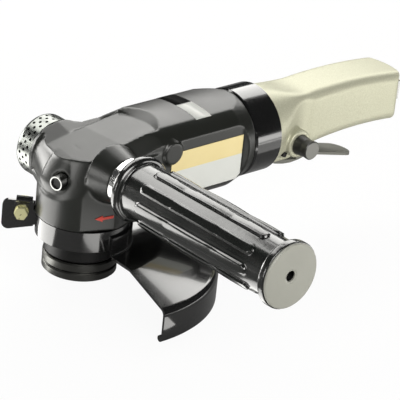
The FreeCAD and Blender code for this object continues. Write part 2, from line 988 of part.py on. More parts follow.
def side_handle_stud():
    head_start = grip_end + grip_end_length - end_hole_depth
    profile = [
        (0, stud_root),
        (stud_radius, stud_root),
        (stud_radius, head_start),
        (0, head_start),
    ]
    return turned(profile, "-y", handle_centre)


def grip_body(rise):
    """The grip's gently bellied body between its flanges, raised all round by rise."""
    low = grip_start + grip_flange_length
    middle = (low + grip_end) / 2
    ends = [vec(grip_radius + rise, 0, low), vec(grip_radius + rise, 0, grip_end)]
    belly = vec(grip_belly_radius + rise, 0, middle)
    outline = Part.Wire([
        Part.Arc(ends[0], belly, ends[1]).toShape(),
        Part.LineSegment(ends[1], vec(0, 0, grip_end)).toShape(),
        Part.LineSegment(vec(0, 0, grip_end), vec(0, 0, low)).toShape(),
        Part.LineSegment(vec(0, 0, low), ends[0]).toShape(),
    ])
    return Part.Face(outline).revolve(vec(0, 0, 0), vec(0, 0, 1), 360)


def rib_wave_body():
    """The surface that the ribs reach, with a wave for each pair of fingers."""
    low = grip_start + grip_flange_length
    pitch = (grip_end - low) / rib_waves
    belly = grip_belly_radius - grip_radius

    def crest(share):
        return grip_radius + rib_rise + 4 * belly * share * (1 - share)

    edges = []
    for n in range(rib_waves):
        start = low + n * pitch
        first = vec(crest(n / rib_waves), 0, start)
        middle = vec(crest((n + 0.5) / rib_waves) + rib_wave, 0, start + pitch / 2)
        last = vec(crest((n + 1) / rib_waves), 0, start + pitch)
        edges.append(Part.Arc(first, middle, last).toShape())
    end = crest(0)
    edges.append(Part.LineSegment(vec(end, 0, grip_end), vec(0, 0, grip_end)).toShape())
    edges.append(Part.LineSegment(vec(0, 0, grip_end), vec(0, 0, low)).toShape())
    edges.append(Part.LineSegment(vec(0, 0, low), vec(end, 0, low)).toShape())
    return Part.Face(Part.Wire(edges)).revolve(vec(0, 0, 0), vec(0, 0, 1), 360)


def grip_ribs():
    """Long ribs with rounded ends, cut from the waved surface."""
    low = grip_start + grip_flange_length + rib_start
    high = grip_end - rib_end
    half = rib_width / 2
    reach = grip_flange_radius + overrun
    ribs = []
    for n in range(rib_count):
        bar = block((0, -half, low), (reach, half, high))
        for end in (low, high):
            bar = bar.fuse(Part.makeCylinder(half, reach, vec(0, 0, end), vec(1, 0, 0)))
        bar.rotate(vec(0, 0, 0), vec(0, 0, 1), 360 * n / rib_count - rib_top_angle)
        ribs.append(bar)
    return rib_wave_body().common(Part.makeCompound(ribs))


def side_handle_grip():
    flange_top = grip_start + grip_flange_length
    edge = grip_end_round
    radius = grip_flange_radius
    base = turned([
        (0, grip_start),
        (radius - edge, grip_start),
        (radius, grip_start + edge),
        (radius, flange_top - edge),
        (radius - edge, flange_top),
        (0, flange_top),
    ])
    end_top = grip_end + grip_end_length
    end = turned([
        (0, grip_end),
        (radius - edge, grip_end),
        (radius, grip_end + edge),
        (radius, end_top),
        (0, end_top),
    ])
    grip = grip_body(0).fuse([base, end]).fuse(grip_ribs())
    bore = rod(stud_radius + seat_gap, grip_start - overrun, end_top + overrun)
    return laid(grip.cut(bore).removeSplitter(), "-y", handle_centre)


def side_handle_end_disc():
    low = grip_end + grip_end_length
    high = low + end_disc_height
    hole = end_hole_radius
    rim = end_hole_rim
    profile = [
        (hole, low),
        (end_disc_radius, low),
        (end_disc_radius, high - end_disc_chamfer),
        (end_disc_radius - end_disc_chamfer, high),
        (hole + rim, high),
        (hole, high - end_disc_chamfer),
    ]
    return turned(profile, "-y", handle_centre)


# Motor
motor_axis = (0, motor_axis_height)
liner_start = motor_bore_start + front_plate_length
liner_end = liner_start + liner_length
rear_plate_end = liner_end + rear_plate_length
motor_fit_radius = motor_bore_radius - seat_gap


def end_plate(low, high, bearing_low):
    """An end plate with its bearing seat, which opens away from the rotor."""
    plate = rod(motor_fit_radius, low, high, "x", motor_axis)
    shaft = rod(rotor_shaft_radius + body_gap, low - overrun, high + overrun, "x", motor_axis)
    seat = rod(
        rotor_bearing_radius + seat_gap,
        bearing_low,
        bearing_low + rotor_bearing_length,
        "x",
        motor_axis,
    )
    return plate.cut([shaft, seat])


def rear_end_plate():
    """The rear plate also has the ports that let the air in on the side away from the exhaust."""
    plate = end_plate(liner_end, rear_plate_end, rear_plate_end - rotor_bearing_length)
    for turn in air_port_angles:
        y = air_port_circle * math.cos(math.radians(turn))
        z = motor_axis_height + air_port_circle * math.sin(math.radians(turn))
        port = rod(air_port_radius, liner_end - overrun, rear_plate_end + overrun, "x", (y, z))
        plate = plate.cut(port)
    return plate


def cylinder_liner():
    bore_centre = (0, motor_axis_height + liner_offset)
    liner = rod(motor_fit_radius, liner_start, liner_end, "x", motor_axis)
    bore = rod(liner_bore_radius, liner_start - overrun, liner_end + overrun, "x", bore_centre)
    ports = []
    for n in range(exhaust_port_count):
        x = liner_start + exhaust_port_start + n * exhaust_port_pitch
        half = exhaust_port_width / 2
        port = block((x - half, 0, -half), (x + half, motor_bore_radius + overrun, half))
        port.rotate(vec(x, 0, 0), vec(1, 0, 0), exhaust_duct_angle)
        port.translate(vec(0, 0, motor_axis_height))
        ports.append(port)
    return liner.cut([bore] + ports)


def rotor():
    low = liner_start + rotor_end_gap
    high = liner_end - rotor_end_gap
    profile = [
        (0, rotor_nose_start),
        (rotor_nose_radius, rotor_nose_start),
        (rotor_nose_radius, crown_pitch_radius + pinion_hub_length + seat_gap),
        (rotor_shaft_radius, crown_pitch_radius + pinion_hub_length + seat_gap),
        (rotor_shaft_radius, low),
        (rotor_radius, low),
        (rotor_radius, high),
        (rotor_shaft_radius, high),
        (rotor_shaft_radius, rear_plate_end),
        (0, rear_plate_end),
    ]
    shape = turned(profile, "x", motor_axis)
    for n in range(vane_count):
        half = vane_slot_width / 2
        floor = motor_axis_height + rotor_radius - vane_depth
        slot = block((low - overrun, -half, floor), (high + overrun, half, floor + 2 * vane_depth))
        slot.rotate(vec(0, 0, motor_axis_height), vec(1, 0, 0), 360 * n / vane_count)
        shape = shape.cut(slot)
    return shape


def vanes():
    low = liner_start + rotor_end_gap
    high = liner_end - rotor_end_gap
    blades = []
    for n in range(vane_count):
        half = vane_width / 2
        floor = motor_axis_height + rotor_radius - vane_depth + vane_inset
        top = motor_axis_height + rotor_radius - vane_inset
        blade = block((low, -half, floor), (high, half, top))
        blade.rotate(vec(0, 0, motor_axis_height), vec(1, 0, 0), 360 * n / vane_count)
        blades.append(blade)
    return Part.makeCompound(blades)


def rotor_bearing(low):
    inner = rotor_shaft_radius + running_gap
    high = low + rotor_bearing_length
    return ball_bearing(inner, rotor_bearing_radius, low, high, "x", motor_axis)


def lock_ring():
    low = ring_start
    high = ring_start + ring_length
    inner = spigot_radius + seat_gap
    profile = [
        (inner, low),
        (ring_radius - ring_chamfer, low),
        (ring_radius, low + ring_chamfer),
        (ring_radius, high - ring_chamfer),
        (ring_radius - ring_chamfer, high),
        (inner, high),
    ]
    return turned(profile, "x", motor_axis)


# Rear handle
ring_end = ring_start + ring_length
handle_front = barrel_end + spigot_length + seat_gap


handle_mid_x = neck_end_x + handle_mid_share * (handle_end_x - neck_end_x)
handle_cap_x = handle_end_x - handle_cap_length
pivot_height = knob_height - pivot_drop
lug_bottom = pivot_height - lug_drop


def rear_handle():
    flange_end = ring_end + throttle_flange_length
    flange_corner = throttle_flange_radius - flange_facet
    radius = throttle_flange_radius
    neck = Part.makeLoft([
        rounded_section(ring_end + seat_gap, radius, radius, radius, flange_corner),
        rounded_section(flange_end, radius - seat_gap, radius - seat_gap, radius - seat_gap, flange_corner),
        rounded_section(waist_x, waist_half_width, waist_top, waist_low, waist_round),
        rounded_section(neck_end_x, neck_half_width, neck_top, neck_low, handle_round),
    ], True, False)
    grip = Part.makeLoft([
        rounded_section(neck_end_x, neck_half_width, neck_top, neck_low, handle_round),
        rounded_section(handle_mid_x, handle_mid_half_width, handle_mid_top, handle_mid_low, handle_round),
        rounded_section(handle_end_x, handle_end_half_width, handle_end_top, handle_end_low, handle_round),
    ], True, False)
    grip = grip.common(handle_limit())
    spigot = rod(spigot_radius, handle_front, ring_end + overrun, "x", motor_axis)
    pilot = rod(motor_fit_radius, rear_plate_end + seat_gap, handle_front + overrun, "x", motor_axis)
    knob_centre = (knob_x, knob_height)
    boss = rod(knob_boss_radius, 0, knob_boss_reach, "-y", knob_centre)
    body = neck.fuse([grip, spigot, pilot, boss, lever_lug()])
    return body.cut(handle_bores())


def handle_limit():
    """The space that the handle keeps within, which rounds its back end off."""
    half = handle_end_half_width
    bulge = handle_end_bulge
    radius = (half ** 2 + bulge ** 2) / (2 * bulge)
    low = motor_axis_height - handle_end_low
    high = motor_axis_height + handle_mid_top
    wide = throttle_flange_radius + overrun
    cap = block((handle_cap_x, -half, low), (handle_end_x, half, high))
    cap = cap.common(rod(radius, low, high, "z", (handle_end_x - radius, 0)))
    back = handle_end_x - 2 * handle_corner
    upright = [
        edge for edge in edges_in(cap, (back, -wide, 0), (handle_end_x, wide, high + overrun))
        if edge.BoundBox.ZLength > overrun
    ]
    cap = cap.makeFillet(handle_corner, upright)
    under = edges_in(cap, (handle_cap_x + seat_gap, -wide, 0), (handle_end_x, wide, low + seat_gap))
    cap = cap.makeFillet(handle_heel, under)
    rest = block(
        (ring_end, -wide, motor_axis_height - wide),
        (handle_cap_x + seat_gap, wide, motor_axis_height + wide),
    )
    return rest.fuse(cap)


def lever_lug():
    """The lug under the handle that holds the lever's pin, slotted for the lever's tongue."""
    top = motor_axis_height - neck_low + handle_round
    lug = block((ring_end + seat_gap, -lug_half_width, lug_bottom), (lug_end_x, lug_half_width, top))
    wide = lug_half_width + seat_gap
    lower_edge = edges_in(
        lug,
        (lug_end_x - seat_gap, -wide, lug_bottom - seat_gap),
        (lug_end_x + seat_gap, wide, lug_bottom + seat_gap),
    )
    return lug.makeFillet(lug_round, lower_edge)


def handle_bores():
    """The air's way through the handle: in at the back, down through the valve,
    forward through the regulator and into the chamber behind the motor."""
    knob_centre = (knob_x, knob_height)
    pivot = (pivot_x, pivot_height)
    chamber_bottom = motor_axis_height - throttle_flange_radius
    inlet_start = handle_end_x - inlet_bore_length
    slot_top = pivot_height + lever_hub_radius + lever_slot_room
    slot = block(
        (slot_front_x, -slot_half_width, lug_bottom - overrun),
        (lug_end_x + overrun, slot_half_width, slot_top),
    )
    spool = knob_spool_radius + running_gap
    pin_end = lug_half_width + overrun
    return [
        rod(front_chamber_radius, rear_plate_end, front_chamber_end, "x", motor_axis),
        rod(front_passage_radius, front_chamber_end - overrun, valve_x, "x", (0, knob_height)),
        rod(air_passage_radius, valve_x, inlet_start + overrun, "x", (0, air_axis_height)),
        rod(inlet_bore_radius, inlet_start, handle_end_x + overrun, "x", (0, air_axis_height)),
        rod(valve_bore_radius, chamber_bottom, valve_chamber_top, "z", (valve_x, 0)),
        rod(spool, -knob_spool_end, knob_boss_reach + overrun, "-y", knob_centre),
        rod(lever_pin_radius + seat_gap, -pin_end, pin_end, "y", pivot),
        slot,
    ]


# Air inlet
def inlet_bushing():
    low = handle_end_x - inlet_length
    high = handle_end_x + inlet_collar_length
    centre = (0, air_axis_height)
    body = rod(inlet_outer_radius, low, handle_end_x, "x", centre)
    flats = inlet_collar_radius * math.sqrt(3)
    collar = hexagon(flats, handle_end_x + seat_gap, high, "x", centre)
    body = body.fuse(rod(inlet_outer_radius, handle_end_x - overrun, handle_end_x + overrun, "x", centre))
    bore = rod(inlet_thread_radius, low - overrun, high + overrun, "x", centre)
    return body.fuse(collar).cut(bore)


def inlet_screen():
    """A cup of metal gauze behind the inlet bushing, kept plain."""
    high = handle_end_x - inlet_length
    low = high - screen_length
    centre = (0, air_axis_height)
    cup = rod(screen_radius, low, high, "x", centre)
    hollow = rod(screen_radius - screen_wall, low + screen_wall, high + overrun, "x", centre)
    return cup.cut(hollow)


# Throttle valve
lever_slope = math.tan(math.radians(lever_drop_angle))
lever_line = lever_line_offset / math.cos(math.radians(lever_drop_angle))


def lever_top_height(x):
    """The height of the lever's upper face above the origin, at x along the tool."""
    return pivot_height + lever_line - (x - pivot_x) * lever_slope


bush_bottom = knob_height - bush_drop
bush_guide_top = knob_height - bush_guide_drop
bush_top = knob_height + bush_rise
valve_head_low = bush_top + seat_gap
valve_head_high = valve_head_low + valve_head_height
stem_bottom = lever_top_height(valve_x) + body_gap


def valve_bush():
    """The cage that guides the stem, lets the air out at its side and carries the valve's seat."""
    outer = valve_bore_radius - seat_gap
    profile = [
        (stem_radius + running_gap, bush_bottom),
        (outer, bush_bottom),
        (outer, bush_top),
        (bush_bore_radius, bush_top),
        (bush_bore_radius, bush_guide_top),
        (stem_radius + running_gap, bush_guide_top),
    ]
    cage = turned(profile, "z", (valve_x, 0))
    reach = valve_bore_radius + overrun
    window = rod(bush_window_radius, valve_x - reach, valve_x, "x", (0, knob_height))
    return cage.cut(window)


def valve_stem():
    profile = [
        (0, stem_bottom),
        (stem_tip_radius, stem_bottom),
        (stem_radius, stem_bottom + stem_tip_length),
        (stem_radius, valve_head_low),
        (valve_head_radius, valve_head_low),
        (valve_head_radius, valve_head_high),
        (0, valve_head_high),
    ]
    return turned(profile, "z", (valve_x, 0))


def valve_spring():
    """The coil that holds the valve shut from above, lofted through six-sided wire sections."""
    wire = valve_spring_wire
    low = valve_head_high + wire + seat_gap
    high = valve_chamber_top - wire - seat_gap
    pitch = (high - low) / valve_spring_turns
    sections = []
    for n in range(int(valve_spring_turns * valve_spring_steps) + 1):
        turns = n / valve_spring_steps
        angle = math.radians(360 * turns)
        points = []
        for corner in range(6):
            around = math.radians(60 * corner)
            radius = valve_spring_radius + wire * math.cos(around)
            height = low + pitch * turns + wire * math.sin(around)
            points.append(vec(valve_x + radius * math.cos(angle), radius * math.sin(angle), height))
        sections.append(Part.makePolygon(points + [points[0]]))
    return Part.makeLoft(sections, True, True)


# Speed regulator
def regulator_knob():
    waist = (knob_seat + knob_reach) / 2
    profile = [
        (0, -knob_spool_end + body_gap),
        (knob_spool_radius, -knob_spool_end + body_gap),
        (knob_spool_radius, knob_seat),
        (knob_base_radius, knob_seat),
        (knob_waist_radius, waist),
        (knob_end_radius, knob_reach - knob_edge),
        (knob_end_radius - knob_edge, knob_reach),
        (0, knob_reach),
    ]
    knob = turned(profile, "-y", (knob_x, knob_height))
    reach = knob_spool_radius + overrun
    port = rod(knob_port_radius, knob_x - reach, knob_x + reach, "x", (0, knob_height))
    return knob.cut(port)


# Lever and its pin
def lever():
    thickness = lever_thickness / math.cos(math.radians(lever_drop_angle))
    wide = [
        (lever_wide_x, lever_top_height(lever_wide_x)),
        (lever_tip_x, lever_top_height(lever_tip_x)),
        (lever_tip_x, lever_top_height(lever_tip_x) - thickness),
        (lever_wide_x, lever_top_height(lever_wide_x) - thickness),
    ]
    blade = plate_xz(wide, -lever_half_width, lever_half_width)
    rounder = block(
        (lever_wide_x - overrun, -lever_half_width, 0),
        (lever_tip_x - lever_tip_round, lever_half_width, motor_axis_height),
    )
    inner = lever_half_width - lever_tip_round
    rounder = rounder.fuse([
        block((lever_wide_x, -inner, 0), (lever_tip_x, inner, motor_axis_height)),
        rod(lever_tip_round, 0, motor_axis_height, "z", (lever_tip_x - lever_tip_round, inner)),
        rod(lever_tip_round, 0, motor_axis_height, "z", (lever_tip_x - lever_tip_round, -inner)),
    ])
    blade = blade.common(rounder)
    outline = [(x, pivot_height - drop) for x, drop in zip(keel_points_x, keel_points_drop)]
    keel_top = pivot_height - keel_top_drop
    keel_top_end = pivot_height - keel_top_end_drop
    outline += [
        (keel_points_x[-1], lever_top_height(keel_points_x[-1]) - lever_edge),
        (lever_wide_x, lever_top_height(lever_wide_x) - lever_edge),
        (lever_wide_x, keel_top_end),
        (pivot_x, keel_top),
        (keel_points_x[0], keel_top),
    ]
    keel = plate_xz(outline, -lever_half_width, lever_half_width)
    narrow = lever_tongue_half_width
    hub = rod(lever_hub_radius, -narrow, narrow, "y", (pivot_x, pivot_height))
    tongue = plate_xz([
        (pivot_x - lever_hub_radius, pivot_height),
        (pivot_x, lever_top_height(pivot_x)),
        (lever_wide_x + overrun, lever_top_height(lever_wide_x + overrun)),
        (lever_wide_x + overrun, keel_top_end - overrun),
        (pivot_x - lever_hub_radius, keel_top - overrun),
    ], -narrow, narrow)
    body = blade.fuse([keel, hub, tongue])
    pivot = (pivot_x, pivot_height)
    bore = rod(lever_pin_radius + running_gap, -lever_half_width, lever_half_width, "y", pivot)
    return body.cut(bore)


def lever_pin():
    half = lug_half_width - lever_pin_inset
    return rod(lever_pin_radius, -half, half, "y", (pivot_x, pivot_height))


# Guard
def bent_strip(corners, bends, sheet):
    """A bent sheet's section in the XZ plane: a path with a rounded bend at each inner corner,
    and the same path set off by the sheet's thickness."""
    edges = []
    start = corners[0]
    for n in range(1, len(corners) - 1):
        before = (corners[n] - corners[n - 1]).normalize()
        after = (corners[n + 1] - corners[n]).normalize()
        turn = before.getAngle(after)
        setback = bends[n - 1] * math.tan(turn / 2)
        first = corners[n] - before * setback
        last = corners[n] + after * setback
        middle = (first + last) * 0.5
        inward = (middle - corners[n]).normalize()
        depth = bends[n - 1] * (1 / math.cos(turn / 2) - 1)
        edges.append(Part.LineSegment(start, first).toShape())
        edges.append(Part.Arc(first, corners[n] + inward * depth, last).toShape())
        start = last
    edges.append(Part.LineSegment(start, corners[-1]).toShape())
    wire = Part.Wire(edges)
    return wire.makeOffset2D(sheet, 0, True, True)


def guard_shell():
    half = guard_sheet / 2
    plate = guard_plate_height - half
    corners = [
        vec(guard_collar_radius, 0, guard_collar_top),
        vec(guard_collar_radius, 0, plate),
        vec(guard_flat_radius, 0, plate),
        vec(guard_rim_radius - half, 0, guard_rim_top),
        vec(guard_rim_radius - half, 0, guard_rim_bottom),
    ]
    bends = [guard_bend, guard_bend * 2, guard_corner_bend]
    face = bent_strip(corners, bends, guard_sheet)
    shell = face.revolve(vec(0, 0, 0), vec(0, 0, 1), guard_sweep)
    bead_centre = vec(guard_rim_radius - half - guard_bead_radius + half, 0, guard_rim_bottom)
    bead_circle = Part.makeCircle(guard_bead_radius, bead_centre, vec(0, 1, 0))
    bead = Part.Face(Part.Wire([bead_circle])).revolve(vec(0, 0, 0), vec(0, 0, 1), guard_sweep)
    shell = shell.fuse(bead)
    shell.rotate(vec(0, 0, 0), vec(0, 0, 1), guard_start_angle)
    return shell


# Clamp band
band_inner = neck_radius + running_gap
band_outer = band_inner + band_sheet


def ear(low, high, reach, root_bottom, bottom, top):
    """One ear in the XZ plane before it is turned to the gap, with rounded outer corners."""
    outline = [(band_inner, root_bottom), (reach, bottom), (reach, top), (band_inner, top)]
    shape = plate_xz(outline, low, high)
    edges = []
    for level in (bottom, top):
        near = (reach - seat_gap, low - seat_gap, level - seat_gap)
        far = (reach + seat_gap, high + seat_gap, level + seat_gap)
        edges += edges_in(shape, near, far)
    shape = shape.makeFillet(ear_corner, edges)
    above = rod(ear_clear_radius, band_top, top + overrun)
    below = rod(band_inner, bottom - overrun, top + overrun)
    under = rod(ear_clear_radius, rear_ear_bottom - overrun, band_bottom)
    return shape.cut([above, below, under])


def clamp_band():
    half = ear_gap / 2
    band = tube(band_outer, band_inner, band_bottom, band_top)
    gap = block((0, -half, band_bottom - overrun), (band_outer + overrun, half, band_top + overrun))
    band = band.cut(gap)
    rear = ear(-half - ear_sheet, -half, rear_ear_reach, band_bottom, rear_ear_bottom, rear_ear_top)
    front = ear(
        half,
        half + ear_sheet,
        front_ear_reach,
        front_ear_root_bottom,
        front_ear_bottom,
        front_ear_top,
    )
    curl_height = front_ear_top + curl_radius / 2
    curl = rod(curl_radius, curl_start, curl_end, "x", (half + ear_sheet / 2, curl_height))
    band = band.fuse([rear, front, curl])
    centre = (clamp_bolt_reach, clamp_bolt_height)
    hole_end = half + ear_sheet + overrun
    hole = rod(clamp_bolt_radius + seat_gap, -hole_end, hole_end, "y", centre)
    band = band.cut(hole)
    band.rotate(vec(0, 0, 0), vec(0, 0, 1), band_gap_angle)
    return band


def clamp_bolt():
    centre = (clamp_bolt_reach, clamp_bolt_height)
    face = ear_gap / 2 + ear_sheet
    washer_top = face + clamp_bolt_washer_height
    head_top = washer_top + clamp_bolt_head_height
    tail = -face - clamp_nut_height - clamp_bolt_tail
    bolt = rod(clamp_bolt_radius, tail, washer_top, "y", centre)
    washer = rod(clamp_bolt_washer_radius, face, washer_top, "y", centre)
    head = hexagon(clamp_bolt_head_flats, washer_top, head_top, "y", centre)
    bolt = bolt.fuse([washer, head])
    bolt.rotate(vec(0, 0, 0), vec(0, 0, 1), band_gap_angle)
    return bolt


def clamp_bolt_nut():
    centre = (clamp_bolt_reach, clamp_bolt_height)
    face = -ear_gap / 2 - ear_sheet
    nut = hexagon(clamp_bolt_head_flats, face - clamp_nut_height, face, "y", centre)
    low = face - clamp_nut_height - overrun
    nut = nut.cut(rod(clamp_bolt_radius + seat_gap, low, face + overrun, "y", centre))
    nut.rotate(vec(0, 0, 0), vec(0, 0, 1), band_gap_angle)
    return nut


os.makedirs("parts", exist_ok=True)

rotor_bearing_front = motor_bore_start
rotor_bearing_rear = rear_plate_end - rotor_bearing_length

pieces = {
    "gear_and_motor_housing": housing(),
    "bearing_cap": bearing_cap(),
    "spindle_seal": spindle_seal(),
    "lower_bearing": lower_bearing(),
    "bearing_retainer": bearing_retainer(),
    "top_bearing": top_bearing(),
    "spindle": spindle(),
    "inner_flange": inner_flange(),
    "crown_gear": crown_gear(),
    "outer_clamp_nut": clamp_nut(),
    "pinion": pinion(),
    "rotor": rotor(),
    "vanes": vanes(),
    "cylinder_liner": cylinder_liner(),
    "front_end_plate": end_plate(motor_bore_start, liner_start, rotor_bearing_front),
    "rear_end_plate": rear_end_plate(),
    "front_rotor_bearing": rotor_bearing(rotor_bearing_front),
    "rear_rotor_bearing": rotor_bearing(rotor_bearing_rear),
    "lock_ring": lock_ring(),
    "lock_sleeve": lock_sleeve(),
    "lock_plunger": lock_plunger(),
    "silencer_cap": silencer_cap(),
    "silencer_felt": silencer_felt(),
    "side_handle_stud": side_handle_stud(),
    "side_handle_collar": side_handle_collar(),
    "side_handle_grip": side_handle_grip(),
    "side_handle_end_disc": side_handle_end_disc(),
    "rear_handle": rear_handle(),
    "inlet_bushing": inlet_bushing(),
    "inlet_screen": inlet_screen(),
    "valve_bush": valve_bush(),
    "valve_stem": valve_stem(),
    "valve_spring": valve_spring(),
    "regulator_knob": regulator_knob(),
    "throttle_lever": lever(),
    "lever_pin": lever_pin(),
    "guard_shell": guard_shell(),
    "guard_clamp_band": clamp_band(),
    "clamp_bolt": clamp_bolt(),
    "clamp_bolt_nut": clamp_bolt_nut(),
}

for name, piece in pieces.items():
    save(name, piece)
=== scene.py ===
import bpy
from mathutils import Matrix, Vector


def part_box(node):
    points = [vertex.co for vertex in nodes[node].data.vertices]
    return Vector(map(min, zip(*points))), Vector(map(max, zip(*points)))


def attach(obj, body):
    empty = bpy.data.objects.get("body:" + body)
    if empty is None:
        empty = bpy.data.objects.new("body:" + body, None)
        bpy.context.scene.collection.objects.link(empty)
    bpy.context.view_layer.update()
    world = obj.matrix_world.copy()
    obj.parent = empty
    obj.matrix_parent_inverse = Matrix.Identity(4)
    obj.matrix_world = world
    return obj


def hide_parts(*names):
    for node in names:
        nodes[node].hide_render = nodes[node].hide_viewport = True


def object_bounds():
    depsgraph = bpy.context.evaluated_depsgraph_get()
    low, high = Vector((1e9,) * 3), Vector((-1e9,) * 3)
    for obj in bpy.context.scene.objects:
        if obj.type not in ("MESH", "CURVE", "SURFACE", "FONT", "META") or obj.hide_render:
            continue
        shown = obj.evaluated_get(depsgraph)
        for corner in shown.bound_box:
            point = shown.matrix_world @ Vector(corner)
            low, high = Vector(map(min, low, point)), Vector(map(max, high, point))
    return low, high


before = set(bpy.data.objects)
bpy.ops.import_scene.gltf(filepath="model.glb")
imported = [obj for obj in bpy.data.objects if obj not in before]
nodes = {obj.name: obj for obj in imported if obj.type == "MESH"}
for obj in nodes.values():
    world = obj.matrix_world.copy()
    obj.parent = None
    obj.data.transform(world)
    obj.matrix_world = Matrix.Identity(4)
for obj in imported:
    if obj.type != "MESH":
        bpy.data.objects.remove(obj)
cad_box = [list(corner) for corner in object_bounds()]

import math

import bpy
import numpy as np
from mathutils import Matrix, Vector

scene = bpy.context.scene

# The camera stands in front of the gear head on the side handle's side,
# a little above the tool, far off with a long lens, and slightly rolled.
camera_place = (-0.838084, -0.951646, 0.632600)
camera_right = Vector((0.7447, -0.6609, 0.0933))
camera_up = Vector((0.2193, 0.3742, 0.9010))
camera_back = Vector((-0.6304, -0.6505, 0.4236))
camera_data = bpy.data.cameras.new("camera")
camera_data.sensor_width = 36.0
camera_data.lens = 240.3
camera_data.clip_end = 20.0
camera = bpy.data.objects.new("camera", camera_data)
scene.collection.objects.link(camera)
camera_turn = Matrix((camera_right, camera_up, camera_back)).transposed().to_4x4()
camera.matrix_world = Matrix.Translation(camera_place) @ camera_turn
scene.camera = camera
scene.view_settings.view_transform = "Standard"

# The studio is a plain pale floor that runs on far beyond the tool. The lens sees the floor and the
# room behind it as white, and polished metal sees them dimmer. The floor keeps the tool's faint shadow.
floor_height = cad_box[0][2] - 0.0003
floor_half = 40.0
floor_grey = (0.8, 0.8, 0.79, 1)
floor_shares = {"Is Camera Ray": 0.94, "Is Glossy Ray": 0.88, "Is Transmission Ray": 0.88}
floor_white = {"Is Camera Ray": 1.0, "Is Glossy Ray": 0.14, "Is Transmission Ray": 0.14}
room_light = 0.04
room_white = {"Is Camera Ray": 1.0, "Is Glossy Ray": room_light, "Is Transmission Ray": room_light}
room_tint = (0.95, 0.98, 1.0, 1)


def seen_share(tree, shares):
    """A value that is the largest of the shares given to the kinds of ray in a Light Path node."""
    path = tree.nodes.new("ShaderNodeLightPath")
    joined = None
    for kind, share in shares.items():
        part = tree.nodes.new("ShaderNodeMath")
        part.operation = "MULTIPLY"
        part.inputs[1].default_value = share
        tree.links.new(path.outputs[kind], part.inputs[0])
        if joined is None:
            joined = part.outputs[0]
            continue
        larger = tree.nodes.new("ShaderNodeMath")
        larger.operation = "MAXIMUM"
        tree.links.new(joined, larger.inputs[0])
        tree.links.new(part.outputs[0], larger.inputs[1])
        joined = larger.outputs[0]
    return joined


def pale_floor():
    """A pale matt surface mixed with a white glow by the kind of ray that sees it."""
    look = bpy.data.materials.new("pale_floor")
    look.use_nodes = True
    tree = look.node_tree
    tree.nodes.clear()
    matt = tree.nodes.new("ShaderNodeBsdfDiffuse")
    matt.inputs["Color"].default_value = floor_grey
    white = tree.nodes.new("ShaderNodeEmission")
    white.inputs["Color"].default_value = (1, 1, 1, 1)
    mix = tree.nodes.new("ShaderNodeMixShader")
    out = tree.nodes.new("ShaderNodeOutputMaterial")
    tree.links.new(seen_share(tree, floor_white), white.inputs["Strength"])
    tree.links.new(seen_share(tree, floor_shares), mix.inputs["Fac"])
    tree.links.new(matt.outputs[0], mix.inputs[1])
    tree.links.new(white.outputs[0], mix.inputs[2])
    tree.links.new(mix.outputs[0], out.inputs["Surface"])
    return look


floor_mesh = bpy.data.meshes.new("studio_floor")
floor_corners = [
    (x * floor_half, y * floor_half, floor_height) for x, y in ((-1, -1), (1, -1), (1, 1), (-1, 1))
]
floor_mesh.from_pydata(floor_corners, [], [(0, 1, 2, 3)])
floor_mesh.materials.append(pale_floor())
studio_floor = bpy.data.objects.new("studio_floor", floor_mesh)
scene.collection.objects.link(studio_floor)

room = bpy.data.worlds.new("dark_room")
scene.world = room
room.use_nodes = True
room_tree = room.node_tree
room_glow = room_tree.nodes["Background"]
room_glow.inputs["Color"].default_value = room_tint
at_least = room_tree.nodes.new("ShaderNodeMath")
at_least.operation = "MAXIMUM"
at_least.inputs[1].default_value = room_light
room_tree.links.new(seen_share(room_tree, room_white), at_least.inputs[0])
room_tree.links.new(at_least.outputs[0], room_glow.inputs["Strength"])

# Large softboxes stand round the tool, each as bright as a surface of its radiance,
# and low panels just over the floor light the undersides, as a pale table does.
lamp_white = (1.0, 0.99, 0.96)
tool_centre = (0.08, -0.02, 0.04)
gear_head = (-0.02, 0.01, 0.05)
head_foot = (-0.02, 0.0, 0.05)
panel_height = floor_height + 0.002


def softbox(name, place, aim, width, height, radiance):
    """A flat rectangular lamp at a place, facing a point. Its power is pi times radiance times area."""
    lamp = bpy.data.lights.new(name, "AREA")
    lamp.shape = "RECTANGLE"
    lamp.size = width
    lamp.size_y = height
    lamp.energy = radiance * math.pi * width * height
    lamp.color = lamp_white
    box = bpy.data.objects.new(name, lamp)
    scene.collection.objects.link(box)
    towards = Vector(aim) - Vector(place)
    facing = towards.to_track_quat("-Z", "Y").to_matrix().to_4x4()
    box.matrix_world = Matrix.Translation(place) @ facing
    box.visible_camera = False


def floor_panel(name, x, y, width, height, radiance):
    """A softbox that lies over the floor and faces straight up."""
    softbox(name, (x, y, panel_height), (x, y, 1.0), width, height, radiance)


softbox("overhead_softbox", (1.03, 0.72, 0.88), tool_centre, 1.35, 0.75, 4.3)
softbox("back_left_softbox", (-0.02, 0.80, 0.95), tool_centre, 0.75, 0.40, 4.6)
softbox("left_card", (-0.40, 0.92, 0.08), gear_head, 0.65, 0.50, 11.0)
softbox("left_dim_card", (-1.0, 0.22, 0.20), head_foot, 0.30, 0.40, 5.5)
softbox("top_softbox", (0.51, 0.50, 1.27), tool_centre, 0.60, 0.45, 2.6)
floor_panel("left_glow", -0.12, 0.10, 0.18, 0.16, 5.0)
floor_panel("front_glow", -0.025, -0.108, 0.08, 0.05, 3.0)
floor_panel("handle_glow", 0.31, -0.16, 0.40, 0.16, 0.8)
floor_panel("low_glow", 0.62, -0.58, 0.80, 0.80, 3.8)
softbox("camera_side_softbox", (-0.37, -1.69, 1.04), tool_centre, 1.4, 1.0, 7.6)

# The gear head and motor housing is one light alloy casting, machined only at its joints and coated
# in a satin dark grey, whose fine grain shows where light grazes it. It carries all other pieces.


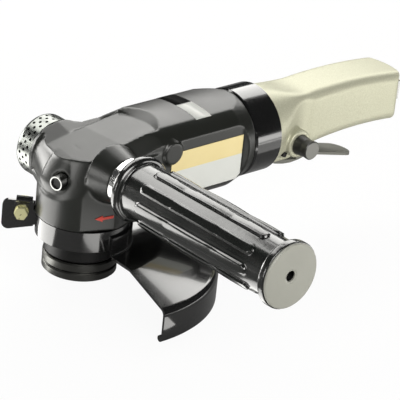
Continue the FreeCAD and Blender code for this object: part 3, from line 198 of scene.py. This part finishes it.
def surface_group():
    """Two tones mixed by slow clouds, a roughness that varies with them, and a fine grain's height."""
    group = bpy.data.node_groups.new("coat_and_grain", "ShaderNodeTree")
    sockets = group.interface
    for label, kind, value in (
        ("Place", "NodeSocketVector", None),
        ("Tone", "NodeSocketColor", (0.05, 0.05, 0.05, 1)),
        ("Second Tone", "NodeSocketColor", (0.08, 0.08, 0.08, 1)),
        ("Cloud Scale", "NodeSocketFloat", 60.0),
        ("Grain Scale", "NodeSocketFloat", 2500.0),
        ("Roughness", "NodeSocketFloat", 0.4),
        ("Roughness Spread", "NodeSocketFloat", 0.08),
    ):
        socket = sockets.new_socket(name=label, in_out="INPUT", socket_type=kind)
        if value is not None:
            socket.default_value = value
    for label, kind in (
        ("Colour", "NodeSocketColor"),
        ("Rough", "NodeSocketFloat"),
        ("Height", "NodeSocketFloat"),
    ):
        sockets.new_socket(name=label, in_out="OUTPUT", socket_type=kind)
    enter = group.nodes.new("NodeGroupInput")
    leave = group.nodes.new("NodeGroupOutput")
    clouds = group.nodes.new("ShaderNodeTexNoise")
    clouds.inputs["Detail"].default_value = 4.0
    grain = group.nodes.new("ShaderNodeTexNoise")
    grain.inputs["Detail"].default_value = 2.0
    tones = group.nodes.new("ShaderNodeMix")
    tones.data_type = "RGBA"
    spread = group.nodes.new("ShaderNodeMapRange")
    spread.inputs["From Min"].default_value = 0.3
    spread.inputs["From Max"].default_value = 0.7
    low = group.nodes.new("ShaderNodeMath")
    low.operation = "SUBTRACT"
    high = group.nodes.new("ShaderNodeMath")
    high.operation = "ADD"
    join = group.links.new
    for noise, scale in ((clouds, "Cloud Scale"), (grain, "Grain Scale")):
        join(enter.outputs["Place"], noise.inputs["Vector"])
        join(enter.outputs[scale], noise.inputs["Scale"])
    for limit, end in ((low, "To Min"), (high, "To Max")):
        join(enter.outputs["Roughness"], limit.inputs[0])
        join(enter.outputs["Roughness Spread"], limit.inputs[1])
        join(limit.outputs[0], spread.inputs[end])
    join(clouds.outputs["Fac"], tones.inputs["Factor"])
    join(clouds.outputs["Fac"], spread.inputs["Value"])
    join(enter.outputs["Tone"], tones.inputs["A"])
    join(enter.outputs["Second Tone"], tones.inputs["B"])
    join(tones.outputs["Result"], leave.inputs["Colour"])
    join(spread.outputs["Result"], leave.inputs["Rough"])
    join(grain.outputs["Fac"], leave.inputs["Height"])
    return group


coat_and_grain = surface_group()
grain_depth = 0.0001


def coated(name, tone, second_tone, rough, spread=0.05, grain=1500.0, bump=0.02, clouds=60.0,
           metallic=0.0, coat=0.0, coat_rough=0.05, specular=0.5):
    """A coat or a bare surface of two close tones with a fine grain."""
    look = bpy.data.materials.new(name)
    look.use_nodes = True
    tree = look.node_tree
    tree.nodes.clear()
    coordinates = tree.nodes.new("ShaderNodeTexCoord")
    surface = tree.nodes.new("ShaderNodeGroup")
    surface.node_tree = coat_and_grain
    surface.inputs["Tone"].default_value = (*tone, 1)
    surface.inputs["Second Tone"].default_value = (*second_tone, 1)
    surface.inputs["Cloud Scale"].default_value = clouds
    surface.inputs["Grain Scale"].default_value = grain
    surface.inputs["Roughness"].default_value = rough
    surface.inputs["Roughness Spread"].default_value = spread
    raised = tree.nodes.new("ShaderNodeBump")
    raised.inputs["Strength"].default_value = bump
    raised.inputs["Distance"].default_value = grain_depth
    shader = tree.nodes.new("ShaderNodeBsdfPrincipled")
    shader.inputs["Metallic"].default_value = metallic
    shader.inputs["Coat Weight"].default_value = coat
    shader.inputs["Coat Roughness"].default_value = coat_rough
    shader.inputs["Specular IOR Level"].default_value = specular
    out = tree.nodes.new("ShaderNodeOutputMaterial")
    join = tree.links.new
    join(coordinates.outputs["Object"], surface.inputs["Place"])
    join(surface.outputs["Colour"], shader.inputs["Base Color"])
    join(surface.outputs["Rough"], shader.inputs["Roughness"])
    join(surface.outputs["Height"], raised.inputs["Height"])
    join(raised.outputs["Normal"], shader.inputs["Normal"])
    join(shader.outputs[0], out.inputs["Surface"])
    return look


triangle_limit = 180000
weld_distance = 0.000002


def rounded_skin(name, body, look, voxel, rounds, reshape=None):
    """A fine closed skin over a node: its loose triangles joined, laid out again as an even net and
    relaxed, which rounds its edges, then thinned. It stands for the node and rides on its body."""
    source = bpy.data.objects.new(name + "_net", nodes[name].data.copy())
    scene.collection.objects.link(source)
    weld = source.modifiers.new("weld", "WELD")
    weld.merge_threshold = weld_distance
    net = source.modifiers.new("net", "REMESH")
    net.mode = "VOXEL"
    net.voxel_size = voxel
    relax = source.modifiers.new("relax", "SMOOTH")
    relax.factor = 0.5
    relax.iterations = rounds
    depsgraph = bpy.context.evaluated_depsgraph_get()
    mesh = bpy.data.meshes.new_from_object(source.evaluated_get(depsgraph), depsgraph=depsgraph)
    bpy.data.objects.remove(source)
    piece = bpy.data.objects.new(name + "_skin", mesh)
    scene.collection.objects.link(piece)
    if reshape is not None:
        reshape(piece)
    mesh.shade_smooth()
    mesh.materials.clear()
    mesh.materials.append(look)
    triangles = 2 * len(mesh.polygons)
    if triangles > triangle_limit:
        thin = piece.modifiers.new("thin", "DECIMATE")
        thin.ratio = triangle_limit / triangles
    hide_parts(name)
    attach(piece, body)
    return piece


# The hollow on the head's front is given in millimetres and degrees round the spindle's axis, from the
# inner flange's lower face. The cone's radius at a height is (foot - fall * height) / lean, and a point
# less than the skin's depth under it belongs to the front. The swell is full at front_full and gone at
# front_end, and the front reaches back to front_edge.
per_metre = 1000.0
cone_foot = 38.3
cone_fall = 0.35
cone_lean = 0.936
skin_depth = 2.6
front_edge = 150.0
front_full = 161.5
front_end = 229.0
front_low = 43.0
front_high = 63.2
front_far_y = 8.7
swell_heights = (48.0, 61.0)
swell_shares = (1.0, 0.25)
swell_power = 1.5

# The silencer's root is a round bar that leaves the head towards the far side, and tapers as it goes.
root_height = 51.3
root_near_y = 8.0
root_near_radius = 24.4
root_length = 15.0
root_far_radius = 17.5
root_face_y = 6.8
root_end_y = 23.5
root_inner_x = -8.0
root_low = 46.0
root_high = 68.0

# The lock's well has a wide and a narrow bore, each opened to its radius over a stretch of its reach.
lock_outward = (-0.970, -0.242)
lock_height = 51.7
lock_clear = 4.2
wide_radius = 3.45
narrow_radius = 2.3
bore_split = 2.4
bore_core = 0.4
wide_reach = (17.0, 24.0)
narrow_reach = (13.0, 17.8)

# The top facet is a plane: its height is (top_foot + top_rise x + top_fall y) / top_lean.
top_foot = 64.9
top_rise = 0.21
top_fall = -0.04
top_lean = 0.98


def between(values, low, high):
    """True where a value lies between two limits."""
    return (values > low) & (values < high)


def filled_front(piece):
    """Fills the hollow beside the lock's sleeve. Round the spindle's axis, the cone of the head's front
    swells by a power of the angle until it meets the silencer's root. The root is drawn in to the line
    between its near and far edge, the lock's well is opened again, and the top facet caps it all."""
    mesh = piece.data
    flat = np.empty(3 * len(mesh.vertices))
    mesh.vertices.foreach_get("co", flat)
    x, y, z = (flat.reshape(-1, 3) * per_metre).T
    out_x, out_y = lock_outward
    radius = np.hypot(x, y)
    angle = np.degrees(np.arctan2(y, x)) % 360.0
    from_lock = np.hypot(out_x * y - out_y * x, z - lock_height)
    reach = out_x * x + out_y * y

    cone = (cone_foot - cone_fall * z) / cone_lean
    root_x_square = np.clip(root_near_radius ** 2 - (z - root_height) ** 2, 0.0, None)
    root_edge = np.sqrt(root_x_square + root_near_y ** 2)
    swell = np.clip(root_edge - cone, 0.0, None) * np.interp(z, swell_heights, swell_shares)
    wave = np.clip((front_end - angle) / (front_end - front_full), 0.0, 1.0) ** swell_power
    target = cone + swell * wave
    front = between(angle, front_edge, front_end) & between(z, front_low, front_high) & (y < front_far_y)
    front &= (radius > cone - skin_depth) & (from_lock > lock_clear)
    front &= (radius < target) | (y > root_face_y)
    pull = np.where(front, target / np.maximum(radius, 1.0), 1.0)
    new_x = x * pull
    new_y = np.where(front & (y > root_face_y), y, y * pull)

    near_edge = np.sqrt(np.clip((cone + swell) ** 2 - root_near_y ** 2, 0.0, None))
    far_edge = np.sqrt(np.clip(root_far_radius ** 2 - (z - root_height) ** 2, 0.0, None))
    along = np.clip((y - root_near_y) / root_length, 0.0, 1.0)
    limit = -((1.0 - along) * near_edge + along * far_edge)
    root = between(y, root_face_y, root_end_y) & between(z, root_low, root_high)
    root &= (x < root_inner_x) & (new_x < limit)
    new_x = np.where(root, limit, new_x)

    wide = between(from_lock, bore_split, wide_radius) & between(reach, *wide_reach)
    narrow = between(from_lock, bore_core, bore_split) & between(reach, *narrow_reach)
    opened = wide | narrow
    bore = np.where(wide, wide_radius, narrow_radius)
    grow = bore / np.maximum(from_lock, bore_core)
    new_x = np.where(opened, out_x * reach + (x - out_x * reach) * grow, new_x)
    new_y = np.where(opened, out_y * reach + (y - out_y * reach) * grow, new_y)
    new_z = np.where(opened, lock_height + (z - lock_height) * grow, z)

    top = (top_foot + top_rise * new_x + top_fall * new_y) / top_lean
    new_z = np.where(front & (new_z > top), top, new_z)
    mesh.vertices.foreach_set("co", (np.column_stack([new_x, new_y, new_z]) / per_metre).ravel())
    group = piece.vertex_groups.new(name="filled")
    group.add(np.flatnonzero((front | root) & ~opened).tolist(), 1.0, "REPLACE")
    ease = piece.modifiers.new("ease", "SMOOTH")
    ease.factor = 0.5
    ease.iterations = 6
    ease.vertex_group = group.name


cast_grey = coated("satin_grey_casting", (0.009, 0.010, 0.008), (0.013, 0.014, 0.012), 0.32, spread=0.04,
                   grain=1800.0, bump=0.10, clouds=40.0, specular=0.6)
casting = rounded_skin("gear_and_motor_housing", "tool_body", cast_grey, voxel=0.0007, rounds=2,
                       reshape=filled_front)

# The bearing cap is turned steel with a dull black finish, pressed up into the head.
# Its nose shows under the casting and carries the guard's clamp band.


def dress(look, *names):
    """Gives the named nodes one material."""
    for name in names:
        materials = nodes[name].data.materials
        materials.clear()
        materials.append(look)


dull_black = coated("dull_black_steel", (0.006, 0.006, 0.006), (0.010, 0.010, 0.010), 0.45,
                    grain=3000.0, bump=0.05, specular=0.25)
dress(dull_black, "bearing_cap")

# The spindle, its gear pair and its bearings are ground or turned steel.
# They sit in the head, and a rubber seal closes the gap to the cap.
ground_steel = coated("ground_steel", (0.50, 0.50, 0.49), (0.60, 0.60, 0.58), 0.28, spread=0.06,
                      grain=2600.0, bump=0.04, clouds=90.0, metallic=1.0)
dress(ground_steel, "spindle", "crown_gear", "pinion", "lower_bearing", "top_bearing", "bearing_retainer")
seal_black = coated("matt_seal_rubber", (0.02, 0.02, 0.02), (0.03, 0.03, 0.03), 0.7, bump=0.1)
dress(seal_black, "spindle_seal")

# The vane motor fills the barrel: a slotted steel rotor in two bearings, with vanes of brown
# pressed composite, runs in an iron liner between two iron end plates.
dress(ground_steel, "rotor", "front_rotor_bearing", "rear_rotor_bearing")
vane_brown = coated("brown_vane_composite", (0.16, 0.09, 0.04), (0.22, 0.13, 0.06), 0.55, bump=0.1,
                    clouds=120.0)
dress(vane_brown, "vanes")
liner_grey = coated("ground_liner_iron", (0.26, 0.26, 0.26), (0.33, 0.33, 0.32), 0.4, grain=2200.0,
                    bump=0.05, clouds=90.0, metallic=1.0)
dress(liner_grey, "cylinder_liner", "front_end_plate", "rear_end_plate")

# The inner flange and the clamp nut hold a disc between them on the spindle.
# Both are turned steel, blackened and oiled.
flange_steel = coated("blackened_flange_steel", (0.10, 0.10, 0.095), (0.15, 0.15, 0.14), 0.33,
                      grain=3000.0, bump=0.04, clouds=90.0, metallic=1.0)
dress(flange_steel, "inner_flange", "outer_clamp_nut")

# The guard is bent from steel sheet and stove enamelled in gloss black, as its clamp band is.
# The band closes round the bearing cap's nose with a bolt and nut, zinc plated and passivated yellow.
gloss_black = coated("gloss_black_enamel", (0.006, 0.006, 0.006), (0.010, 0.010, 0.010), 0.14, spread=0.03,
                     grain=1200.0, bump=0.03, clouds=50.0, coat=0.6, specular=0.8)
dress(gloss_black, "guard_shell", "guard_clamp_band")
yellow_zinc = coated("yellow_zinc", (0.62, 0.60, 0.32), (0.74, 0.71, 0.42), 0.32, spread=0.08, grain=1800.0,
                     bump=0.08, clouds=250.0, metallic=0.6)
dress(yellow_zinc, "clamp_bolt", "clamp_bolt_nut")

# The spindle's lock is a black plunger in a turned steel sleeve, pressed into the head's front.
# The sleeve's steel is toned dark all over as painted shade for the shade on its side.
# painted shade: the sleeve's steel tones are set dark to stand for its shaded side
sleeve_steel = coated("sleeve_steel_painted_shade", (0.22, 0.22, 0.215), (0.32, 0.32, 0.31), 0.24, grain=3000.0,
                      bump=0.03, clouds=90.0, metallic=1.0)
dress(sleeve_steel, "lock_sleeve")
dress(dull_black, "lock_plunger")

# The silencer is a cap of perforated bright steel sheet over a ring of dark felt,
# fixed to the head's far side, where the motor's air leaves.
silencer_steel = coated("perforated_silencer_steel", (0.20, 0.21, 0.195), (0.27, 0.28, 0.265), 0.26,
                        grain=2600.0, bump=0.05, clouds=90.0, metallic=1.0)
dress(silencer_steel, "silencer_cap")
felt_grey = coated("dark_felt", (0.012, 0.012, 0.012), (0.02, 0.02, 0.02), 0.9, grain=900.0, bump=0.4)
dress(felt_grey, "silencer_felt")

# The side handle is a glossy black plastic grip moulded with long ribs, on a steel stud that screws
# into the head. A plated collar closes its root and a satin grey disc closes its end.
bright_steel = coated("bright_plated_steel", (0.72, 0.72, 0.71), (0.80, 0.80, 0.79), 0.16, spread=0.04,
                      grain=3000.0, bump=0.03, clouds=90.0, metallic=1.0)
dress(bright_steel, "side_handle_collar")
dress(dull_black, "side_handle_stud")
grip_black = coated("glossy_grip_plastic", (0.006, 0.007, 0.006), (0.009, 0.010, 0.009), 0.17, spread=0.03,
                    grain=900.0, coat=0.35, coat_rough=0.06, specular=0.9)
rounded_skin("side_handle_grip", "tool_body", grip_black, voxel=0.0005, rounds=3)
disc_grey = coated("satin_grey_disc", (0.30, 0.30, 0.265), (0.34, 0.34, 0.30), 0.42, spread=0.04, bump=0.06)
dress(disc_grey, "side_handle_end_disc")

# The lock ring is turned and polished, with a gloss black finish.
# It draws the rear handle against the motor's barrel.
ring_black = coated("polished_black_ring", (0.004, 0.004, 0.004), (0.006, 0.006, 0.006), 0.13, spread=0.02,
                    grain=2600.0, coat=0.5, coat_rough=0.06, specular=1.0)
dress(ring_black, "lock_ring")

# The rear handle is an alloy casting with a champagne coat that shows a fine metallic grain.
# It clamps the motor in the barrel and holds the valve, the knob and the lever.
handle_cream = coated("champagne_handle_coat", (0.37, 0.36, 0.25), (0.66, 0.66, 0.53), 0.48, spread=0.06,
                      grain=1100.0, bump=0.30, clouds=1500.0, metallic=0.45, specular=0.3)
handle = rounded_skin("rear_handle", "tool_body", handle_cream, voxel=0.0006, rounds=4)

# A cross pin is driven into the handle's flange, low on the near side. Its blackened end shows
# as a small dished disc with a rim, and its skirt goes into the casting.
pin_near = (0.12656, -0.01768, 0.03805)
pin_proud = 0.0014
pin_radius = 0.0015
pin_corners = 24
pin_floor = 0.00002
pin_rim = 0.00015
pin_foot = -0.0022
pin_profile = np.array([(0.78, pin_floor), (0.84, pin_rim), (0.97, pin_rim), (1.0, pin_foot)])


def closed_rings(name, rings):
    """A closed mesh from rings of points, an array of (ring, corner, coordinate): quads join each
    ring to the next, and the first and the last ring are closed by a face of their own. The piece
    is fixed to the tool's body."""
    count, corners = rings.shape[:2]
    numbers = np.arange(count * corners).reshape(count, corners)
    here = numbers[:-1].ravel()
    after = np.roll(numbers[:-1], -1, axis=1).ravel()
    quads = np.column_stack([here, here + corners, after + corners, after])
    faces = [numbers[0].tolist(), numbers[-1][::-1].tolist()] + quads.tolist()
    mesh = bpy.data.meshes.new(name)
    mesh.from_pydata(rings.reshape(-1, 3).tolist(), [], faces)
    piece = bpy.data.objects.new(name, mesh)
    scene.collection.objects.link(piece)
    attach(piece, "tool_body")
    return piece


def pin_end(name, centre):
    """A turned profile carried round the cross axis: at each turn and profile row, the point lies the
    row's share of the radius from the axis, and the row's height out from the centre."""
    turn = np.linspace(0.0, 2 * np.pi, pin_corners, endpoint=False)
    reach = pin_radius * pin_profile[:, :1]
    out = np.broadcast_to(pin_profile[:, 1:], (len(pin_profile), pin_corners))
    rings = np.stack([reach * np.cos(turn), -out, reach * np.sin(turn)], axis=-1)
    return closed_rings(name, rings + centre)


pin_place = handle.closest_point_on_mesh(pin_near)[1]
pin = pin_end("flange_pin_end", np.array(pin_place) - (0.0, pin_proud, 0.0))
pin.data.materials.append(dull_black)

# The throttle valve sits in the handle: a steel stem and spring in a brass bush. The air comes in
# through a plated hexagon bushing and a brass screen at the handle's end.
dress(ground_steel, "valve_stem", "valve_spring")
brass = coated("turned_brass", (0.60, 0.42, 0.16), (0.68, 0.50, 0.22), 0.3, spread=0.06, grain=2500.0,
               bump=0.05, clouds=90.0, metallic=1.0)
dress(brass, "valve_bush", "inlet_screen")
dress(bright_steel, "inlet_bushing")

# The regulator knob is turned steel, blackened on its round side,
# with its end face turned bare again. It turns in a boss on the handle's near side.
knob_face_depth = 0.00015
knob_face_grey = (0.17, 0.17, 0.155)


def turned_face(look, level, tone):
    """Where the surface lies further out than a level on the near side, it shows a turned face's tone."""
    tree = look.node_tree
    shader = next(node for node in tree.nodes if node.type == "BSDF_PRINCIPLED")
    coordinates = next(node for node in tree.nodes if node.type == "TEX_COORD")
    coat = shader.inputs["Base Color"].links[0].from_socket
    split = tree.nodes.new("ShaderNodeSeparateXYZ")
    beyond = tree.nodes.new("ShaderNodeMath")
    beyond.operation = "LESS_THAN"
    beyond.inputs[1].default_value = level
    mix = tree.nodes.new("ShaderNodeMix")
    mix.data_type = "RGBA"
    mix.inputs["B"].default_value = (*tone, 1)
    join = tree.links.new
    join(coordinates.outputs["Object"], split.inputs[0])
    join(split.outputs["Y"], beyond.inputs[0])
    join(beyond.outputs[0], mix.inputs["Factor"])
    join(coat, mix.inputs["A"])
    join(mix.outputs["Result"], shader.inputs["Base Color"])


knob_black = coated("satin_knob_black", (0.018, 0.018, 0.016), (0.030, 0.030, 0.027), 0.34,
                    grain=2200.0, bump=0.06)
turned_face(knob_black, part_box("regulator_knob")[0][1] + knob_face_depth, knob_face_grey)
dress(knob_black, "regulator_knob")

# The throttle lever is cast and coated a satin grey.
# It hangs under the handle on a steel pin and presses the valve's stem.
lever_grey = coated("satin_lever_grey", (0.17, 0.17, 0.15), (0.22, 0.22, 0.195), 0.4, grain=2000.0,
                    bump=0.08, clouds=90.0, metallic=0.4)
dress(lever_grey, "throttle_lever")
dress(ground_steel, "lever_pin")

# The nameplate is a thin printed aluminium plate glued to the barrel's flat near side,
# with a gold band over a white field. It is left without words.
barrel_side_y = -0.02252
plate_thick = 0.0003
plate_low = 0.0346
plate_split = 0.0491
plate_high = 0.0600
plate_front = 0.0390
plate_back = 0.0904
corner_along = 0.0035
corner_up = 0.0034
gold_outline = [
    (plate_front, plate_split),
    (plate_back, plate_split),
    (plate_back, plate_high),
    (plate_front, plate_high),
]
white_outline = [
    (plate_front, plate_low),
    (plate_back - corner_along, plate_low),
    (plate_back, plate_low + corner_up),
    (plate_back, plate_split),
    (plate_front, plate_split),
]


def flat_plate(name, outline, to_space):
    """A flat plate: the ring of its near face, then that of its far face, each the outline's rows of
    (across, up) with their height out, carried into place by to_space."""
    outline = np.array(outline)
    near = np.column_stack([outline, np.full(len(outline), plate_thick)])
    far = np.column_stack([outline, np.zeros(len(outline))])
    return closed_rings(name, np.stack([to_space(near), to_space(far)]))


def on_barrel_side(rows):
    """(along, height, out) becomes a point out from the barrel's flat near side."""
    return np.column_stack([rows[:, 0], barrel_side_y - rows[:, 2], rows[:, 1]])


gold_band = coated("printed_gold_band", (0.68, 0.56, 0.26), (0.74, 0.62, 0.32), 0.35, spread=0.04,
                   metallic=0.2)
white_field = coated("printed_white_field", (0.58, 0.59, 0.56), (0.62, 0.63, 0.60), 0.38, spread=0.04,
                     metallic=0.1)
flat_plate("nameplate_gold_band", gold_outline, on_barrel_side).data.materials.append(gold_band)
flat_plate("nameplate_white_field", white_outline, on_barrel_side).data.materials.append(white_field)

# A printed strip of thin film is stuck across the top of the barrel,
# black on the far half and white on the near half. The two edges are where each half ends.
strip_middle_x = 0.0650
strip_front_x = 0.0597
strip_back_x = 0.0703
strip_far_y = 0.0170
strip_near_y = -0.0162
strip_white_edge = 0.0008
strip_black_edge = 0.0
strip_rows = 34
strip_thick = 0.0003
strip_proud = 0.00012
above_barrel = 0.2


def barrel_height(y):
    """The height of the barrel's top at a distance from its middle, by a ray down onto the casting."""
    return casting.ray_cast((strip_middle_x, y, above_barrel), (0, 0, -1))[1].z + strip_proud


def strip_on_barrel(name, across):
    """A thin strip bent over the barrel's top: at each row of (y, height), a ring of four corners
    runs along the barrel on the upper face and back along the lower face."""
    along = np.array([strip_front_x, strip_back_x, strip_back_x, strip_front_x])
    below = np.array([0.0, 0.0, strip_thick, strip_thick])
    flat = np.zeros((len(across), 4))
    rings = np.stack([flat + along, flat + across[:, :1], across[:, 1:] - below], axis=-1)
    piece = closed_rings(name, rings)
    piece.data.shade_smooth()
    return piece


barrel_top = np.array([(y, barrel_height(y)) for y in np.linspace(strip_far_y, strip_near_y, strip_rows)])
near_half = barrel_top[barrel_top[:, 0] <= strip_white_edge]
far_half = barrel_top[barrel_top[:, 0] >= strip_black_edge]
strip_white = coated("printed_strip_white", (0.60, 0.61, 0.58), (0.66, 0.67, 0.64), 0.4, spread=0.04)
strip_black = coated("printed_strip_black", (0.004, 0.004, 0.004), (0.006, 0.006, 0.006), 0.5, spread=0.04,
                     specular=0.02)
strip_on_barrel("top_strip_white", near_half).data.materials.append(strip_white)
strip_on_barrel("top_strip_black", far_half).data.materials.append(strip_black)

# A red arrow for the turning direction is painted low on the head,
# on the flat below the side handle's boss.
arrow_across = np.array((0.934, -0.357, 0.0))
arrow_out = np.array((-0.357, -0.934, 0.0))
arrow_tip = np.array((-0.01025, -0.02136, 0.0337))
arrow_outline = [
    (0.0, 0.0), (0.0042, -0.0018), (0.0040, -0.0008), (0.0100, 0.0000),
    (0.0100, 0.0014), (0.0040, 0.0007), (0.0042, 0.0017),
]


def on_head_side(rows):
    """(across, up, out) becomes a point on the flat below the side handle's boss."""
    place = arrow_tip + rows[:, :1] * arrow_across + rows[:, 2:] * arrow_out
    place[:, 2] += rows[:, 1]
    return place


arrow_red = coated("painted_arrow_red", (0.55, 0.035, 0.02), (0.62, 0.05, 0.03), 0.5, clouds=300.0)
flat_plate("turning_arrow", arrow_outline, on_head_side).data.materials.append(arrow_red)
